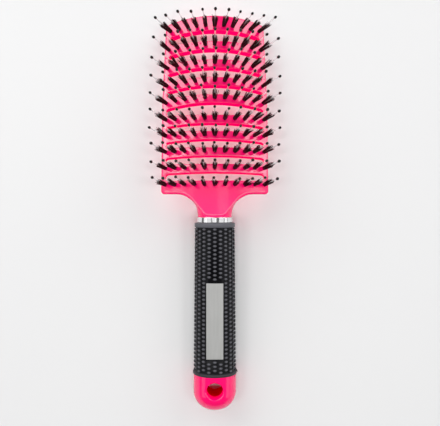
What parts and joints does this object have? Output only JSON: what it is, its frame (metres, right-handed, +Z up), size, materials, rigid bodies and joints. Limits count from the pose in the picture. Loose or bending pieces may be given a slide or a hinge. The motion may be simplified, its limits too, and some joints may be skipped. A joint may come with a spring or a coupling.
{
  "type": "detangling brush",
  "caption": "Curved vented detangling hair brush: boar tufts with ball-tipped nylon pins on a glossy bent head, chrome neck ring, knobbed rubber grip and end cap with hang hole.",
  "frame": {"origin": "under the middle of the brush, on the surface it lies on", "axes": "+Y from the hanging end to the top of the head, +Z up out of the bristle side, +X across the head"},
  "size_m": [0.0796, 0.2498, 0.0481],
  "materials": {
    "pink_abs": "polished moulded ABS, hot pink",
    "bright_chrome": "bright plated",
    "core_abs": "plain moulded, hidden",
    "black_rubber": "soft satin rubber with small knobs",
    "silver_plate": "fine satin, bare",
    "boar_bristle": "natural dark boar bristle",
    "clear_nylon": "translucent nylon",
    "black_tips": "smooth rounded tips",
    "anchor_wire": "flat staple wire"
  },
  "bodies": {
    "root": {"head_frame": "pink_abs", "neck_ring": "bright_chrome", "handle_core": "core_abs", "grip_sleeve": "black_rubber", "name_plate": "silver_plate", "end_cap": "pink_abs", "bristle_tufts_row_01": "boar_bristle", "bristle_tufts_row_02": "boar_bristle", "bristle_tufts_row_03": "boar_bristle", "bristle_tufts_row_04": "boar_bristle", "bristle_tufts_row_05": "boar_bristle", "bristle_tufts_row_06": "boar_bristle", "bristle_tufts_row_07": "boar_bristle", "bristle_tufts_row_08": "boar_bristle", "bristle_tufts_row_09": "boar_bristle", "bristle_tufts_row_10": "boar_bristle", "detangling_pins_row_01": "clear_nylon", "detangling_pins_row_02": "clear_nylon", "detangling_pins_row_03": "clear_nylon", "detangling_pins_row_04": "clear_nylon", "detangling_pins_row_05": "clear_nylon", "detangling_pins_row_06": "clear_nylon", "detangling_pins_row_07": "clear_nylon", "detangling_pins_row_08": "clear_nylon", "detangling_pins_row_09": "clear_nylon", "detangling_pins_row_10": "clear_nylon", "pin_ball_tips_row_01": "black_tips", "pin_ball_tips_row_02": "black_tips", "pin_ball_tips_row_03": "black_tips", "pin_ball_tips_row_04": "black_tips", "pin_ball_tips_row_05": "black_tips", "pin_ball_tips_row_06": "black_tips", "pin_ball_tips_row_07": "black_tips", "pin_ball_tips_row_08": "black_tips", "pin_ball_tips_row_09": "black_tips", "pin_ball_tips_row_10": "black_tips", "tuft_anchors_row_01": "anchor_wire", "tuft_anchors_row_02": "anchor_wire", "tuft_anchors_row_03": "anchor_wire", "tuft_anchors_row_04": "anchor_wire", "tuft_anchors_row_05": "anchor_wire", "tuft_anchors_row_06": "anchor_wire", "tuft_anchors_row_07": "anchor_wire", "tuft_anchors_row_08": "anchor_wire", "tuft_anchors_row_09": "anchor_wire", "tuft_anchors_row_10": "anchor_wire"}
  },
  "joints": []
}
